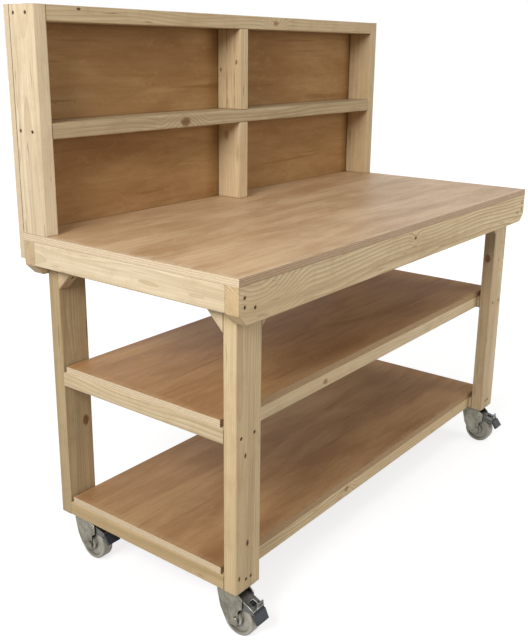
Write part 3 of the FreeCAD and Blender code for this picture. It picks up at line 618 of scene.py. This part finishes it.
def cross_recesses():
    bm = bmesh.new()
    for points in islands(nodes["timber_screws"].data):
        centre, out, radius = head_of(points)
        side = out.orthogonal().normalized()
        turn = rng.uniform(0, math.pi / 2)
        side = side * math.cos(turn) + out.cross(side) * math.sin(turn)
        other = out.cross(side)
        arm, half = CROSS_ARM * radius, CROSS_HALF * radius
        outline = [(arm, -half), (arm, half), (half, half), (half, arm), (-half, arm), (-half, half),
                   (-arm, half), (-arm, -half), (-half, -half), (-half, -arm), (half, -arm), (half, -half)]

        def level(share, height):
            return [bm.verts.new(centre + side * a * share + other * b * share + out * height)
                    for a, b in outline]

        top, base = level(CROSS_TAPER, CROSS_PROUD), level(1.0, -CROSS_SUNK)
        bm.faces.new(top)
        for i in range(len(outline)):
            j = (i + 1) % len(outline)
            bm.faces.new((base[i], base[j], top[j], top[i]))
    bmesh.ops.recalc_face_normals(bm, faces=bm.faces)
    new_piece("screw_recesses", bm, recess_shade, "bench")


cross_recesses()


# Stage: a mid grey floor and a dim sky that both show white, and three lamps

HORIZON_LIGHT, ZENITH_LIGHT = 0.17, 0.62
FLOOR_REACH = 30.0
FLOOR_GREYS = ((0.38, 0.38, 0.375), (0.34, 0.34, 0.335))
# The floor's glow grows from the first level to the second between these distances from the middle
GLOW_FROM, GLOW_TO = 1.2, 4.0
GLOW_LEVELS = (0.76, 0.93)


def seen_directly(tree):
    """1 for rays from the camera and for reflections, 0 for the light that falls on the object."""
    path = tree.nodes.new("ShaderNodeLightPath")
    value = path.outputs["Is Camera Ray"]
    for name in ("Is Glossy Ray", "Is Transmission Ray"):
        either = tree.nodes.new("ShaderNodeMath")
        either.operation = "MAXIMUM"
        tree.links.new(value, either.inputs[0])
        tree.links.new(path.outputs[name], either.inputs[1])
        value = either.outputs[0]
    return value


def floor():
    mesh = bpy.data.meshes.new("floor")
    corners = [(x * FLOOR_REACH, y * FLOOR_REACH, 0) for x, y in ((-1, -1), (1, -1), (1, 1), (-1, 1))]
    mesh.from_pydata(corners, [], [(0, 1, 2, 3)])
    item = bpy.data.objects.new("floor", mesh)
    bpy.context.scene.collection.objects.link(item)
    g = Graph("floor")
    point = g.node("ShaderNodeTexCoord").outputs["Object"]
    cloud = g.noise(point, scale=1.5, detail=3)
    matte = g.node("ShaderNodeBsdfDiffuse", {"Color": g.mix(g.range(cloud, 0.3, 0.7), *FLOOR_GREYS)})
    spread = g.range(g.vector("LENGTH", point), GLOW_FROM, GLOW_TO, *GLOW_LEVELS, smooth=True)
    glow = g.node("ShaderNodeEmission", {"Strength": g.math("MULTIPLY", seen_directly(g.tree), spread)})
    both = g.node("ShaderNodeAddShader", {0: matte.outputs[0], 1: glow.outputs[0]})
    out = g.node("ShaderNodeOutputMaterial")
    g.tree.links.new(both.outputs[0], out.inputs[0])
    mesh.materials.append(g.material)


def studio():
    world = bpy.data.worlds.new("studio")
    bpy.context.scene.world = world
    world.use_nodes = True
    tree = world.node_tree
    tree.nodes.clear()
    direction = tree.nodes.new("ShaderNodeTexCoord").outputs["Generated"]
    height = tree.nodes.new("ShaderNodeSeparateXYZ")
    tree.links.new(direction, height.inputs[0])
    light = tree.nodes.new("ShaderNodeMapRange")
    light.inputs[3].default_value = HORIZON_LIGHT
    light.inputs[4].default_value = ZENITH_LIGHT
    tree.links.new(height.outputs[2], light.inputs[0])
    level = tree.nodes.new("ShaderNodeMapRange")
    tree.links.new(seen_directly(tree), level.inputs[0])
    tree.links.new(light.outputs[0], level.inputs[3])
    sky = tree.nodes.new("ShaderNodeBackground")
    sky.inputs[0].default_value = (1, 1, 1, 1)
    tree.links.new(level.outputs[0], sky.inputs[1])
    out = tree.nodes.new("ShaderNodeOutputWorld")
    tree.links.new(sky.outputs[0], out.inputs[0])


def lamp(name, at, towards, energy, size):
    """A round lamp of a given diameter."""
    data = bpy.data.lights.new(name, "AREA")
    data.energy = energy
    data.shape = "DISK"
    data.size = size
    item = bpy.data.objects.new(name, data)
    item.location = at
    item.rotation_euler = (Vector(towards) - Vector(at)).to_track_quat("-Z", "Y").to_euler()
    bpy.context.scene.collection.objects.link(item)


floor()
studio()
lamp("key", (-3.3, -0.65, 2.6), (0, 0, 0.8), 105, 1.6)
lamp("fill", (1.6, -3.2, 1.8), (0, 0, 0.7), 43, 2.0)
lamp("back", (2.6, 3.4, 2.6), (0, 0, 0.9), 30, 2.0)


# Camera, solved from points in the photo. FOCAL, MIDDLE and SIZE are in the photo's pixels.

FOCAL, MIDDLE, SIZE = 848.56, (262.60, 291.86), (528, 640)
CAMERA_AT = (-2.0463, -1.4002, 1.3595)
YAW, PITCH, ROLL = (math.radians(angle) for angle in (-52.30, -15.95, 0.59))

right = Vector((math.cos(YAW), math.sin(YAW), 0))
ahead = Vector((-math.sin(YAW) * math.cos(PITCH), math.cos(YAW) * math.cos(PITCH), math.sin(PITCH)))
up = right.cross(ahead)
right, up = right * math.cos(ROLL) + up * math.sin(ROLL), up * math.cos(ROLL) - right * math.sin(ROLL)
lens = bpy.data.cameras.new("camera")
lens.sensor_width = 36
lens.lens = FOCAL / max(SIZE) * lens.sensor_width
lens.shift_x = (SIZE[0] / 2 - MIDDLE[0]) / max(SIZE)
lens.shift_y = (MIDDLE[1] - SIZE[1] / 2) / max(SIZE)
lens.clip_end = 200
camera = bpy.data.objects.new("camera", lens)
pose = Matrix((right, up, -ahead)).transposed().to_4x4()
pose.translation = Vector(CAMERA_AT)
camera.matrix_world = pose
bpy.context.scene.collection.objects.link(camera)
bpy.context.scene.camera = camera
bpy.context.scene.view_settings.view_transform = "Standard"
